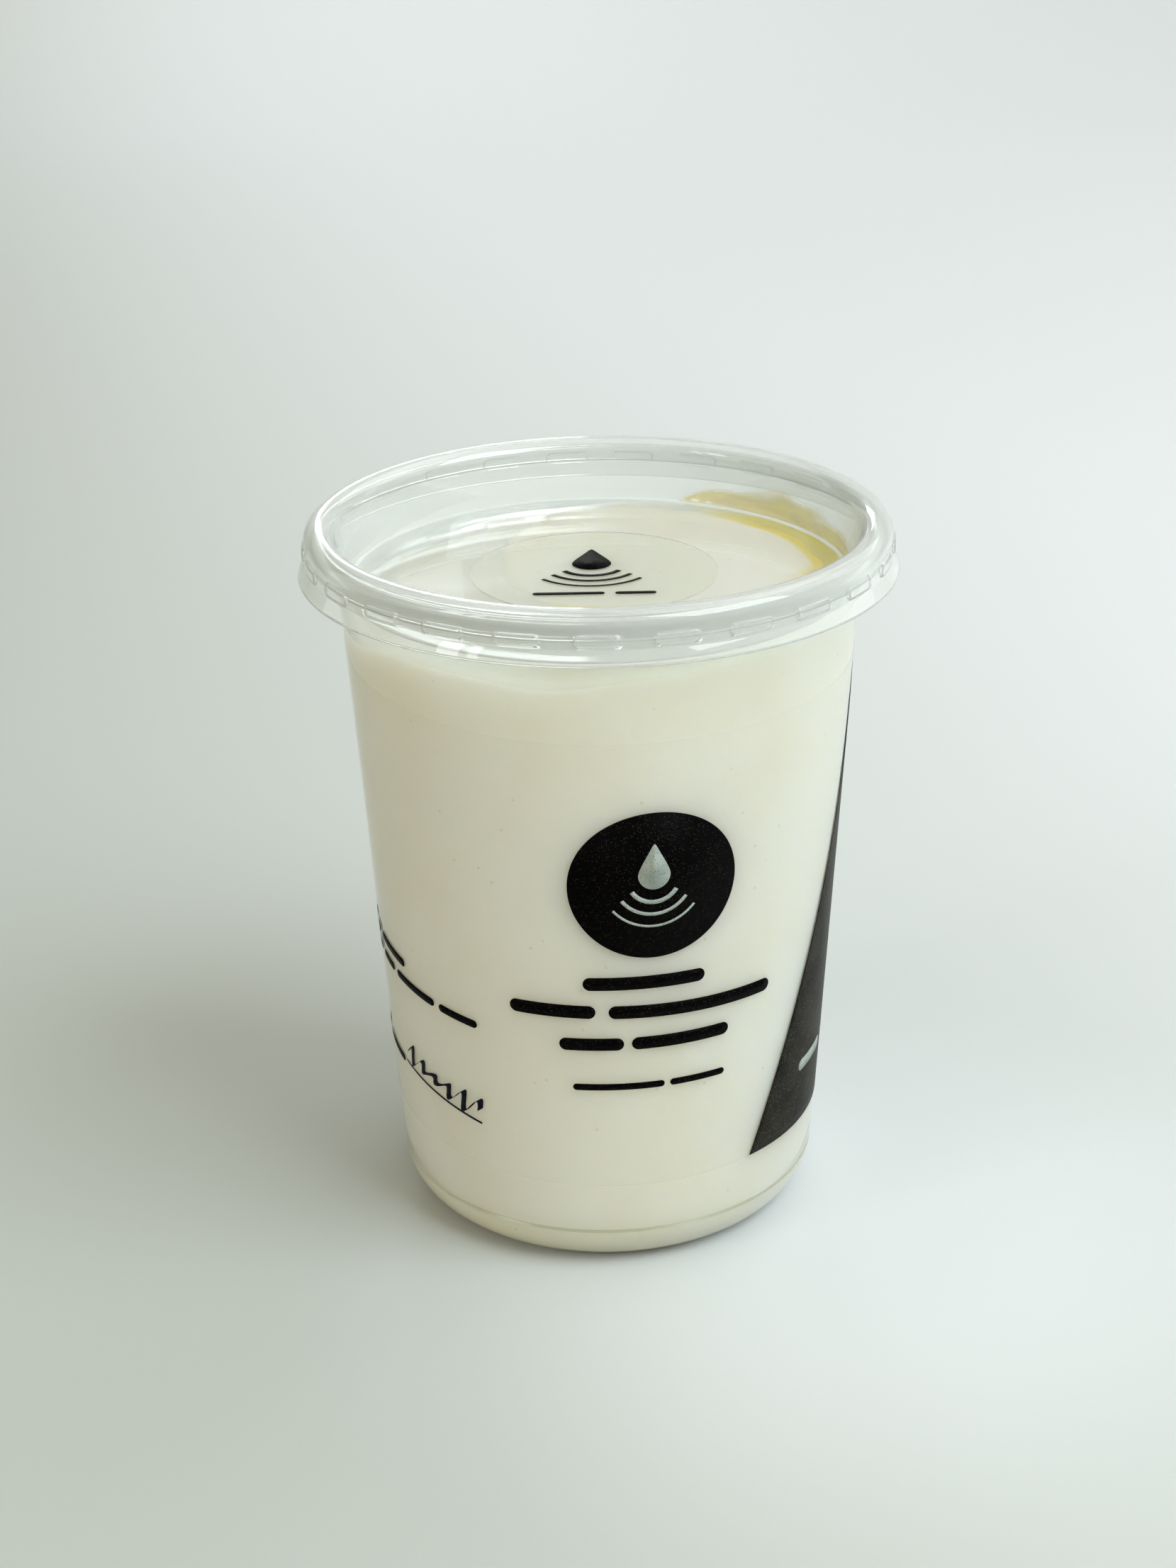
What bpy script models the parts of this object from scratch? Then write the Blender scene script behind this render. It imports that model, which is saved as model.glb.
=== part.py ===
"""A one-litre round yogurt pot: clear cup and snap lid, yogurt, a clear film label and a lid sticker.

Metres, +Z up. The origin is the centre of the foot, on the surface that the pot stands on.
The label's middle faces -Y, turned a little towards +X.
"""

import math

import bmesh
import bpy

SEGMENTS = 72  # round the axis
GAP = 0.0003  # kept between pieces that touch
MERGE = 1e-6
SHARP_ANGLE = math.radians(35)  # creases over this stay sharp

# Cup
WALL_RADIUS_AT_FLOOR = 0.0430  # the cone of the wall, carried down to the floor
WALL_TAPER = 0.0622  # radius gained for each unit of height
CUP_THICKNESS = 0.0007
FOOT_FILLET = 0.0095
FOOT_STEPS = 6
FOOT_RING_WIDTH = 0.0042
FOOT_RING_SLOPE = 0.0016
BASE_RECESS = 0.0016
SHOULDER_Z = 0.1355  # above it the wall flares out to the rim
RIM_CURL_RADIUS = 0.00125
RIM_CENTRE_RADIUS = 0.0546
RIM_CENTRE_Z = 0.1426
RIM_LIP_Z = 0.1405
RIM_STEPS = 4

# Lid
LID_THICKNESS = 0.0005
PANEL_Z = 0.1340  # top of the sunk panel
PANEL_RADIUS = 0.0486
PLUG_FOOT = (0.0497, 0.1351)  # radius and height where the plug's wall leaves its corner
PLUG_CORNER = (0.0003, 0.0008)  # the corner's break, in from the plug's foot and down
RING_HALF_WIDTH = 0.00305
RING_RISE = 0.0029
RING_CENTRE_Z = 0.1433
RING_END = -18  # degrees, where the ring runs into the skirt
RING_STEPS = 9
SKIRT_RADIUS = 0.0576  # upright band under the ring
SKIRT_BAND_Z = 0.1393
SKIRT_STEP = (0.0005, 0.0009)  # under the band: out and down
SKIRT_EDGE = (0.0590, 0.1365)
LUG_COUNT = 25
LUG_LENGTH = 0.0090
LUG_HEIGHT = 0.0026
LUG_PROUD = 0.0005
LUG_ROOT_SHARE = 0.6  # of the lid's thickness that each lug reaches in
LUG_END_STEPS = 5
LUG_Z = 0.1409
LUG_START = math.radians(-90.6)

# Yogurt
FILL_Z = 0.1300  # where its top meets the wall
PATCH_CENTRE = (0.012, 0.011)  # of the part that touches the lid
PATCH_RADIUS = 0.0300
PATCH_LEAN = (0.0023, math.radians(160))  # one-sided swelling: size and direction
PATCH_LOBES = (0.0025, math.radians(112))  # soft lobes: size and direction of the first
PATCH_LOBE_COUNT = 3
PATCH_EDGE = 0.0040  # width of the slope round the patch
PATCH_LIMIT = 0.0420  # the patch ends this far from the axis
TOP_RINGS = 14

# Film label, a straight strip wrapped on the cone
LABEL_FOOT_Z = 0.0205
LABEL_HEIGHT = 0.0975
LABEL_MIDDLE = math.radians(-78)
LABEL_END_GAP = 0.0030  # between its ends, at the back
LABEL_ROWS = 2
FILM = 0.0003

# Lid sticker
STICKER_RADIUS = 0.0245
STICKER_SEGMENTS = 48

# Finishes: colour, roughness, share of light let through
CUP_PLASTIC = ((0.93, 0.96, 0.94), 0.12, 1.0)
LID_PLASTIC = ((0.94, 0.97, 0.96), 0.10, 1.0)
YOGURT = ((0.80, 0.80, 0.67), 0.45, 0.0)
LABEL_FILM = ((0.90, 0.92, 0.88), 0.25, 0.6)
STICKER_FILM = ((0.88, 0.90, 0.86), 0.22, 0.6)
IOR = 1.49


def material(name, finish):
    colour, roughness, transmission = finish
    made = bpy.data.materials.new(name)
    made.use_nodes = True
    shader = made.node_tree.nodes["Principled BSDF"]
    shader.inputs["Base Color"].default_value = (*colour, 1.0)
    shader.inputs["Roughness"].default_value = roughness
    shader.inputs["Metallic"].default_value = 0.0
    shader.inputs["Transmission Weight"].default_value = transmission
    shader.inputs["IOR"].default_value = IOR
    return made


def arc(centre, radius, start, end, steps, rise=None):
    """Points of an arc in the radius-height plane, with angles in degrees. rise makes it elliptical."""
    rise = radius if rise is None else rise
    points = []
    for step in range(steps + 1):
        angle = math.radians(start + (end - start) * step / steps)
        points.append((centre[0] + radius * math.cos(angle), centre[1] + rise * math.sin(angle)))
    return points


def turned(profile):
    """A bmesh of (radius, height) points spun once round Z. Their path has the outside on its right."""
    bm = bmesh.new()
    verts = [bm.verts.new((radius, 0.0, height)) for radius, height in profile]
    edges = [bm.edges.new(pair) for pair in zip(verts, verts[1:])]
    bmesh.ops.spin(
        bm,
        geom=verts + edges,
        cent=(0, 0, 0),
        axis=(0, 0, 1),
        angle=2 * math.pi,
        steps=SEGMENTS,
        use_merge=True,
    )
    bmesh.ops.remove_doubles(bm, verts=bm.verts, dist=MERGE)
    bmesh.ops.reverse_faces(bm, faces=bm.faces)  # the spin leaves them facing in
    return bm


def add_object(name, bm, made_material):
    """An object of the bmesh, shaded smooth across its soft edges."""
    mesh = bpy.data.meshes.new(name)
    bm.to_mesh(mesh)
    bm.free()
    mesh.materials.append(made_material)
    mesh.shade_smooth()
    mesh.set_sharp_from_angle(angle=SHARP_ANGLE)
    obj = bpy.data.objects.new(name, mesh)
    bpy.context.scene.collection.objects.link(obj)
    return obj


def thicken(obj, thickness):
    """Gives a turned sheet its wall, on the side away from its normals."""
    wall = obj.modifiers.new("Wall", "SOLIDIFY")
    wall.thickness = thickness
    wall.offset = -1
    wall.use_even_offset = True


def wall_radius(z):
    return WALL_RADIUS_AT_FLOOR + WALL_TAPER * z


def foot_arc(inset, steps):
    """The rounded foot, from the floor ring to the wall, moved in by inset."""
    lean = math.atan(WALL_TAPER)
    centre_radius = wall_radius(FOOT_FILLET) - FOOT_FILLET / math.cos(lean)
    return arc((centre_radius, FOOT_FILLET), FOOT_FILLET - inset, -90, -math.degrees(lean), steps)


def base_profile(inset, steps):
    """Half of the base, from the axis out to the wall, moved in by inset."""
    foot = foot_arc(inset, steps)
    ring_inner = foot[0][0] - FOOT_RING_WIDTH
    return [
        (0.0, BASE_RECESS + inset),
        (ring_inner - FOOT_RING_SLOPE, BASE_RECESS + inset),
        (ring_inner, inset),
        *foot,
    ]


def make_cup():
    """The outer face of the sheet, up the wall and over the rim's curl to its lip."""
    rim_centre = (RIM_CENTRE_RADIUS, RIM_CENTRE_Z)
    profile = base_profile(0.0, FOOT_STEPS)
    profile.append((wall_radius(SHOULDER_Z), SHOULDER_Z))
    profile += arc(rim_centre, RIM_CURL_RADIUS, 180, 0, RIM_STEPS)
    profile.append((RIM_CENTRE_RADIUS + RIM_CURL_RADIUS, RIM_LIP_Z))
    bm = turned(profile)
    cup = add_object("cup", bm, material("clear_cup_plastic", CUP_PLASTIC))
    thicken(cup, CUP_THICKNESS)
    return cup


def lid_profile():
    """The outer face of the lid, from the edge of the skirt to the middle of the sunk panel."""
    profile = [(0.0, PANEL_Z), (PANEL_RADIUS, PANEL_Z)]
    profile.append((PLUG_FOOT[0] - PLUG_CORNER[0], PLUG_FOOT[1] - PLUG_CORNER[1]))
    profile.append(PLUG_FOOT)
    ring_centre = (RIM_CENTRE_RADIUS, RING_CENTRE_Z)
    profile += arc(ring_centre, RING_HALF_WIDTH, 180, RING_END, RING_STEPS, rise=RING_RISE)
    profile.append((SKIRT_RADIUS, SKIRT_BAND_Z))
    profile.append((SKIRT_RADIUS + SKIRT_STEP[0], SKIRT_BAND_Z - SKIRT_STEP[1]))
    profile.append(SKIRT_EDGE)
    return profile[::-1]


def lug_outline(steps):
    """A flat obround in the plane across the skirt: (along, up) points."""
    half = (LUG_LENGTH - LUG_HEIGHT) / 2
    right = arc((half, 0.0), LUG_HEIGHT / 2, -90, 90, steps)
    left = arc((-half, 0.0), LUG_HEIGHT / 2, 90, 270, steps)
    return right + left


def make_lugs():
    """The obround lugs that stand proud of the skirt, each rooted in its wall."""
    bm = bmesh.new()
    root = SKIRT_RADIUS - LUG_ROOT_SHARE * LID_THICKNESS
    crown = SKIRT_RADIUS + LUG_PROUD
    for index in range(LUG_COUNT):
        middle = LUG_START + 2 * math.pi * index / LUG_COUNT
        rings = []
        for radius in (root, crown):
            ring = []
            for along, up in lug_outline(LUG_END_STEPS):
                angle = middle + along / SKIRT_RADIUS
                place = (radius * math.cos(angle), radius * math.sin(angle), LUG_Z + up)
                ring.append(bm.verts.new(place))
            rings.append(ring)
            bm.faces.new(ring)
        edges = [bm.edges.get(pair) for ring in rings for pair in zip(ring, ring[1:] + ring[:1])]
        bmesh.ops.bridge_loops(bm, edges=edges)
    bmesh.ops.triangulate(bm, faces=bm.faces)
    bmesh.ops.recalc_face_normals(bm, faces=bm.faces)
    return bm


def make_lid():
    plastic = material("clear_lid_plastic", LID_PLASTIC)
    lid = add_object("lid", turned(lid_profile()), plastic)
    thicken(lid, LID_THICKNESS)
    lugs = add_object("lug_shapes", make_lugs(), plastic)
    lugs.hide_render = True
    lugs.display_type = "WIRE"
    union = lid.modifiers.new("Lugs", "BOOLEAN")
    union.operation = "UNION"
    union.object = lugs
    return lid


def patch_reach(angle):
    """How far the patch that touches the lid reaches from its own centre."""
    lean, lean_angle = PATCH_LEAN
    lobes, lobe_angle = PATCH_LOBES
    swell = lobes * math.cos(PATCH_LOBE_COUNT * (angle - lobe_angle))
    return PATCH_RADIUS + lean * math.cos(angle - lean_angle) + swell


def yogurt_top(x, y):
    """Height of the yogurt's top: flat against the lid, and lower in a moat along the wall."""
    across, along = x - PATCH_CENTRE[0], y - PATCH_CENTRE[1]
    outside = math.hypot(across, along) - patch_reach(math.atan2(along, across))
    outside = max(outside, math.hypot(x, y) - PATCH_LIMIT, 0.0)
    contact_z = PANEL_Z - LID_THICKNESS - GAP
    return FILL_Z + (contact_z - FILL_Z) * math.exp(-((outside / PATCH_EDGE) ** 2))


def make_yogurt():
    inset = CUP_THICKNESS + GAP
    edge_radius = wall_radius(FILL_Z) - inset
    profile = base_profile(inset, FOOT_STEPS)
    profile.append((edge_radius, FILL_Z))
    for ring in range(1, TOP_RINGS):
        profile.append((edge_radius * (1 - ring / TOP_RINGS), FILL_Z))
    profile.append((0.0, FILL_Z))
    bm = turned(profile)
    for vert in bm.verts:
        x, y, z = vert.co
        if z > FILL_Z - MERGE:
            vert.co.z = yogurt_top(x, y)
    return add_object("yogurt", bm, material("yogurt", YOGURT))


def label_height(angle, up):
    """Height on the wall of a point of the strip, up from its lower edge, at an angle from its middle."""
    lean = math.atan(WALL_TAPER)
    floor_slant = WALL_RADIUS_AT_FLOOR / math.sin(lean)
    middle_slant = floor_slant + (LABEL_FOOT_Z + up) / math.cos(lean)
    slant = middle_slant / math.cos(angle * math.sin(lean))
    return (slant - floor_slant) * math.cos(lean)


def make_side_label():
    """The strip's outer face, which its wall is then given inwards."""
    stand_off = GAP + FILM
    half_turn = math.pi - LABEL_END_GAP / 2 / wall_radius(LABEL_FOOT_Z)
    bm = bmesh.new()
    columns = []
    for step in range(SEGMENTS + 1):
        angle = half_turn * (2 * step / SEGMENTS - 1)
        column = []
        for row in range(LABEL_ROWS + 1):
            z = label_height(angle, LABEL_HEIGHT * row / LABEL_ROWS)
            radius = wall_radius(z) + stand_off
            turn = LABEL_MIDDLE + angle
            column.append(bm.verts.new((radius * math.cos(turn), radius * math.sin(turn), z)))
        columns.append(column)
    for left, right in zip(columns, columns[1:]):
        for low in range(LABEL_ROWS):
            bm.faces.new((left[low], right[low], right[low + 1], left[low + 1]))
    label = add_object("side_label", bm, material("label_film", LABEL_FILM))
    thicken(label, FILM)
    return label


def make_lid_sticker():
    bm = bmesh.new()
    bmesh.ops.create_cone(
        bm,
        cap_ends=True,
        segments=STICKER_SEGMENTS,
        radius1=STICKER_RADIUS,
        radius2=STICKER_RADIUS,
        depth=FILM,
    )
    bmesh.ops.translate(bm, verts=bm.verts, vec=(0, 0, PANEL_Z + GAP + FILM / 2))
    return add_object("lid_sticker", bm, material("sticker_film", STICKER_FILM))


def main():
    for obj in list(bpy.data.objects):
        bpy.data.objects.remove(obj, do_unlink=True)
    make_cup()
    make_lid()
    make_yogurt()
    make_side_label()
    make_lid_sticker()


main()
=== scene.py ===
import math

import bmesh
import bpy
from mathutils import Matrix, Vector, noise


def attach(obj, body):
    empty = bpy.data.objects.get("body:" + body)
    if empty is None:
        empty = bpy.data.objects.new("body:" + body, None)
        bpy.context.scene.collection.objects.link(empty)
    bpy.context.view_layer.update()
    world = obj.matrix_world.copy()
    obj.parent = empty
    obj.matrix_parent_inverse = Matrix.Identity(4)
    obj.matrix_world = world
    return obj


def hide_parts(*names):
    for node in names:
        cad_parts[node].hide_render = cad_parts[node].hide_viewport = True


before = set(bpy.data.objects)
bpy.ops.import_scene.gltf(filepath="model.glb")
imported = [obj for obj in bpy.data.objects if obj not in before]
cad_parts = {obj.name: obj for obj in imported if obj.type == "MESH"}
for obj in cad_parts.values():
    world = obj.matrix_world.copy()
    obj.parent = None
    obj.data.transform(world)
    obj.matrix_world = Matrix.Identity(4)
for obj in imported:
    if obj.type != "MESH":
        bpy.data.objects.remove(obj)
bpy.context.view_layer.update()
print("frame loaded:", sorted(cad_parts))

mm = 0.001
toRadians = math.radians


# Camera, as the photograph was taken: a long lens held a little above the pot

view = {
    "focalPixels": 3700.0,
    "frameHeight": 2212,
    "sensor": 36.0,
    "distance": 0.536,
    "elevation": 23.55,
    "turn": 0.312,
    "roll": -0.95,
    "targetHeight": 0.0886,
    "clipStart": 0.01,
}


def makeCamera():
    lift = toRadians(view["elevation"])
    place = Matrix.Translation((
        0.0,
        -view["distance"] * math.cos(lift),
        view["targetHeight"] + view["distance"] * math.sin(lift),
    ))
    tilt = Matrix.Rotation(math.pi / 2 - lift, 4, "X")
    turn = Matrix.Rotation(toRadians(view["turn"]), 4, "Y")
    roll = Matrix.Rotation(toRadians(view["roll"]), 4, "Z")
    data = bpy.data.cameras.new("camera")
    data.sensor_width = view["sensor"]
    data.lens = view["focalPixels"] / view["frameHeight"] * view["sensor"]
    data.clip_start = view["clipStart"]
    camera = bpy.data.objects.new("camera", data)
    camera.matrix_world = place @ tilt @ turn @ roll
    bpy.context.scene.collection.objects.link(camera)
    bpy.context.scene.camera = camera


# Drawing helpers: a profile is drawn in the plane y = 0, as radius and height

mergeReach = 0.002 * mm


def lineTo(bm, tip, radius, height, cuts=1):
    start = tip.co.copy()
    end = Vector((radius, 0.0, height))
    for cut in range(1, cuts + 1):
        point = bm.verts.new(start.lerp(end, cut / cuts))
        bm.edges.new((tip, point))
        tip = point
    return tip


def arcTo(bm, tip, centre, degrees, steps):
    # counterclockwise is positive
    swept = bmesh.ops.spin(
        bm,
        geom=[tip],
        cent=(centre[0], 0.0, centre[1]),
        axis=(0, -1, 0),
        angle=toRadians(degrees),
        steps=steps,
    )
    return swept["geom_last"][0]


def onCircle(radius, angle, height):
    return (radius * math.cos(angle), radius * math.sin(angle), height)


def faceOut(bm, near, outward):
    # the face nearest to a point tells which way the whole sheet looks
    bmesh.ops.recalc_face_normals(bm, faces=bm.faces)
    near = Vector(near)
    probe = min(bm.faces, key=lambda face: (face.calc_center_median() - near).length)
    if probe.normal.dot(Vector(outward)) < 0:
        bmesh.ops.reverse_faces(bm, faces=bm.faces)


def turnProfile(bm, steps):
    bmesh.ops.spin(
        bm,
        geom=bm.verts[:] + bm.edges[:],
        cent=(0, 0, 0),
        axis=(0, 0, 1),
        angle=2 * math.pi,
        steps=steps,
        use_merge=True,
    )
    bmesh.ops.remove_doubles(bm, verts=bm.verts, dist=mergeReach)


def addPiece(name, bm, materials, node=None, sharp=40):
    mesh = bpy.data.meshes.new(name)
    bm.to_mesh(mesh)
    bm.free()
    for material in materials:
        mesh.materials.append(material)
    mesh.shade_smooth()
    mesh.set_sharp_from_angle(angle=toRadians(sharp))
    piece = bpy.data.objects.new(name, mesh)
    bpy.context.scene.collection.objects.link(piece)
    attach(piece, "root")
    if node:
        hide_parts(node)
    return piece


def addWall(piece, thickness, offset, rimMaterial=0):
    # offset -1 thickens to the inside of the sheet, 1 to its outside
    wall = piece.modifiers.new("wall", "SOLIDIFY")
    wall.thickness = thickness
    wall.offset = offset
    wall.use_even_offset = True
    wall.material_offset_rim = rimMaterial


def easeStep(low, high, value):
    t = min(max((value - low) / (high - low), 0.0), 1.0)
    return t * t * (3 - 2 * t)


# Node helpers

def paint(red, green, blue):
    # a screen colour, 0 to 255, as the shader's linear one
    channels = [value / 255 for value in (red, green, blue)]
    linear = [c / 12.92 if c <= 0.04045 else ((c + 0.055) / 1.055) ** 2.4 for c in channels]
    return (*linear, 1.0)


def startMaterial(name):
    material = bpy.data.materials.new(name)
    material.use_nodes = True
    tree = material.node_tree
    return material, tree, tree.nodes["Principled BSDF"], tree.nodes["Material Output"]


def setInputs(node, values):
    for name, value in values.items():
        node.inputs[name].default_value = value


def addNode(tree, kind, inputs=None, **settings):
    node = tree.nodes.new(kind)
    for name, value in settings.items():
        setattr(node, name, value)
    setInputs(node, inputs or {})
    return node


def addSoftRange(tree, inputs):
    return addNode(tree, "ShaderNodeMapRange", inputs, interpolation_type="SMOOTHSTEP")


def addBlend(tree, first=None, second=None):
    # a colour mix whose two colours are its sockets 6 and 7
    node = addNode(tree, "ShaderNodeMix", data_type="RGBA")
    for socket, colour in ((6, first), (7, second)):
        if colour:
            node.inputs[socket].default_value = colour
    return node


def addGroup(tree, group, inputs):
    return addNode(tree, "ShaderNodeGroup", inputs, node_tree=group)


def startGroup(name, inputs, outputs):
    group = bpy.data.node_groups.new(name, "ShaderNodeTree")
    for socketName, value in inputs.items():
        kind = "NodeSocketFloat" if isinstance(value, (int, float)) else "NodeSocketColor"
        socket = group.interface.new_socket(name=socketName, in_out="INPUT", socket_type=kind)
        socket.default_value = value
    for socketName, kind in outputs.items():
        group.interface.new_socket(name=socketName, in_out="OUTPUT", socket_type=kind)
    return group, group.nodes.new("NodeGroupInput"), group.nodes.new("NodeGroupOutput")


def addMath(tree, operation, inputs=None):
    return addNode(tree, "ShaderNodeMath", inputs, operation=operation)


def makePebbleGroup():
    # the fine orange-peel of printed film, as a height
    group, given, result = startGroup(
        "pebbledFilm", {"Scale": 1600.0, "Specks": 0.3}, {"Height": "NodeSocketFloat"})
    link = group.links.new
    place = addNode(group, "ShaderNodeTexCoord")
    grain = addNode(group, "ShaderNodeTexNoise", {"Detail": 1.5, "Roughness": 0.55})
    specks = addNode(group, "ShaderNodeTexVoronoi", feature="F1")
    faint = addMath(group, "MULTIPLY")
    total = addMath(group, "ADD")
    link(place.outputs["Object"], grain.inputs["Vector"])
    link(place.outputs["Object"], specks.inputs["Vector"])
    link(given.outputs["Scale"], grain.inputs["Scale"])
    link(given.outputs["Scale"], specks.inputs["Scale"])
    link(specks.outputs["Distance"], faint.inputs[0])
    link(given.outputs["Specks"], faint.inputs[1])
    link(grain.outputs["Fac"], total.inputs[0])
    link(faint.outputs[0], total.inputs[1])
    link(total.outputs[0], result.inputs["Height"])
    return group


def makeHandlingGroup():
    # soft finger marks and wiped streaks, as a roughness between two values
    group, given, result = startGroup(
        "handlingMarks",
        {"Scale": 60.0, "Clean": 0.05, "Marked": 0.2},
        {"Roughness": "NodeSocketFloat"},
    )
    link = group.links.new
    place = addNode(group, "ShaderNodeTexCoord")
    streaks = addNode(group, "ShaderNodeMapping", {"Scale": (1.0, 1.0, 2.6)})
    marks = addNode(group, "ShaderNodeTexNoise", {
        "Detail": 2.0, "Roughness": 0.6, "Distortion": 0.8})
    spread = addSoftRange(group, {"From Min": 0.42, "From Max": 0.72})
    link(place.outputs["Object"], streaks.inputs["Vector"])
    link(streaks.outputs["Vector"], marks.inputs["Vector"])
    link(given.outputs["Scale"], marks.inputs["Scale"])
    link(marks.outputs["Fac"], spread.inputs["Value"])
    link(given.outputs["Clean"], spread.inputs["To Min"])
    link(given.outputs["Marked"], spread.inputs["To Max"])
    link(spread.outputs["Result"], result.inputs["Roughness"])
    return group


def makeMottleGroup():
    # two close colours drifting into each other, with a finer curdle on top
    group, given, result = startGroup(
        "softMottle",
        {"Light": (0.8, 0.8, 0.7, 1.0), "Deep": (0.7, 0.7, 0.6, 1.0), "Scale": 45.0},
        {"Color": "NodeSocketColor", "Height": "NodeSocketFloat"},
    )
    link = group.links.new
    place = addNode(group, "ShaderNodeTexCoord")
    clouds = addNode(group, "ShaderNodeTexNoise", {
        "Detail": 3.0, "Roughness": 0.5, "Distortion": 0.4})
    finer = addMath(group, "MULTIPLY", {1: 14.0})
    curdle = addNode(group, "ShaderNodeTexNoise", {"Detail": 2.0, "Roughness": 0.5})
    share = addMath(group, "MULTIPLY_ADD", {1: 0.18})
    spread = addSoftRange(group, {"From Min": 0.45, "From Max": 0.78})
    blend = addBlend(group)
    link(place.outputs["Object"], clouds.inputs["Vector"])
    link(place.outputs["Object"], curdle.inputs["Vector"])
    link(given.outputs["Scale"], clouds.inputs["Scale"])
    link(given.outputs["Scale"], finer.inputs[0])
    link(finer.outputs[0], curdle.inputs["Scale"])
    link(curdle.outputs["Fac"], share.inputs[0])
    link(clouds.outputs["Fac"], share.inputs[2])
    link(share.outputs[0], spread.inputs["Value"])
    link(spread.outputs["Result"], blend.inputs["Factor"])
    link(given.outputs["Light"], blend.inputs[6])
    link(given.outputs["Deep"], blend.inputs[7])
    link(blend.outputs[2], result.inputs["Color"])
    link(curdle.outputs["Fac"], result.inputs["Height"])
    return group


def makeSpeckGroup():
    # small round specks, one in some of the cells, as a mask
    group, given, result = startGroup(
        "roundSpecks", {"Scale": 260.0, "Size": 0.1, "Share": 0.3}, {"Mask": "NodeSocketFloat"})
    link = group.links.new
    place = addNode(group, "ShaderNodeTexCoord")
    cells = addNode(group, "ShaderNodeTexVoronoi", feature="F1")
    halo = addMath(group, "MULTIPLY", {1: 1.6})
    dots = addNode(group, "ShaderNodeMapRange", {"To Min": 1.0, "To Max": 0.0})
    chance = addNode(group, "ShaderNodeSeparateColor")
    kept = addMath(group, "LESS_THAN")
    mask = addMath(group, "MULTIPLY")
    link(place.outputs["Object"], cells.inputs["Vector"])
    link(given.outputs["Scale"], cells.inputs["Scale"])
    link(given.outputs["Size"], halo.inputs[0])
    link(cells.outputs["Distance"], dots.inputs["Value"])
    link(given.outputs["Size"], dots.inputs["From Min"])
    link(halo.outputs[0], dots.inputs["From Max"])
    link(cells.outputs["Color"], chance.inputs["Color"])
    link(chance.outputs["Red"], kept.inputs[0])
    link(given.outputs["Share"], kept.inputs[1])
    link(dots.outputs["Result"], mask.inputs[0])
    link(kept.outputs[0], mask.inputs[1])
    link(mask.outputs[0], result.inputs["Mask"])
    return group


def letLampsThrough(tree, shader, output, tint):
    # lamps reach what is inside through the shadow-ray branch, eyes see the real plastic
    through = addNode(tree, "ShaderNodeBsdfTransparent", {"Color": tint})
    rays = addNode(tree, "ShaderNodeLightPath")
    choose = addNode(tree, "ShaderNodeMixShader")
    tree.links.new(rays.outputs["Is Shadow Ray"], choose.inputs[0])
    tree.links.new(shader.outputs[0], choose.inputs[1])
    tree.links.new(through.outputs[0], choose.inputs[2])
    tree.links.new(choose.outputs[0], output.inputs["Surface"])


# Finishes

grainDepth = 0.1 * mm
curdleDepth = 0.2 * mm
slantBlend = 0.35


def addTone(tree, mottle, look):
    return addGroup(tree, mottle, {
        "Light": look["light"], "Deep": look["deep"], "Scale": look["scale"]})


def addSpecks(tree, speckle, look, prefix):
    given = {"Scale": prefix + "Scale", "Size": prefix + "Size", "Share": prefix + "Share"}
    return addGroup(tree, speckle, {name: look[value] for name, value in given.items()})


def addBump(tree, shader, height, strength, distance):
    bump = addNode(tree, "ShaderNodeBump", {"Strength": strength, "Distance": distance})
    tree.links.new(height, bump.inputs["Height"])
    tree.links.new(bump.outputs["Normal"], shader.inputs["Normal"])


def addGrain(tree, shader, pebble, look):
    grain = addGroup(tree, pebble, {"Scale": look["grainScale"], "Specks": look["specks"]})
    addBump(tree, shader, grain.outputs["Height"], look["grainStrength"], grainDepth)


def clearPlastic(name, look, handling):
    material, tree, shader, output = startMaterial(name)
    setInputs(shader, {
        "Base Color": look["tint"],
        "Transmission Weight": look["clarity"],
        "IOR": look["bend"],
        "Specular IOR Level": look["shine"],
    })
    marks = addGroup(tree, handling, {
        "Scale": look["markScale"], "Clean": look["clean"], "Marked": look["marked"]})
    tree.links.new(marks.outputs["Roughness"], shader.inputs["Roughness"])
    letLampsThrough(tree, shader, output, look["lampTint"])
    return material


def clearFilm(name, look, pebble):
    # nearly invisible face on, more present at a slant
    material, tree, shader, output = startMaterial(name)
    link = tree.links.new
    setInputs(shader, {"Base Color": look["tint"], "Roughness": look["roughness"]})
    addGrain(tree, shader, pebble, look)
    slant = addNode(tree, "ShaderNodeLayerWeight", {"Blend": slantBlend})
    body = addNode(tree, "ShaderNodeMapRange", {
        "To Min": look["faceOn"], "To Max": look["slant"]})
    link(slant.outputs["Facing"], body.inputs["Value"])
    link(body.outputs["Result"], shader.inputs["Alpha"])
    letLampsThrough(tree, shader, output, look["lampTint"])
    return material


def inkFinish(name, look, pebble, mottle, speckle):
    material, tree, shader, _ = startMaterial(name)
    link = tree.links.new
    tone = addTone(tree, mottle, look)
    specks = addSpecks(tree, speckle, look, "speck")
    # specks of a second tone: on the black inks these are painted glints, on the pale ink darker
    # flecks
    speckledAndGlinting = addBlend(tree, second=look["speckAndGlintTone"])
    link(specks.outputs["Mask"], speckledAndGlinting.inputs["Factor"])
    link(tone.outputs["Color"], speckledAndGlinting.inputs[6])
    link(speckledAndGlinting.outputs[2], shader.inputs["Base Color"])
    setInputs(shader, {"Roughness": look["roughness"], "Specular IOR Level": look["shine"]})
    addGrain(tree, shader, pebble, look)
    return material


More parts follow.
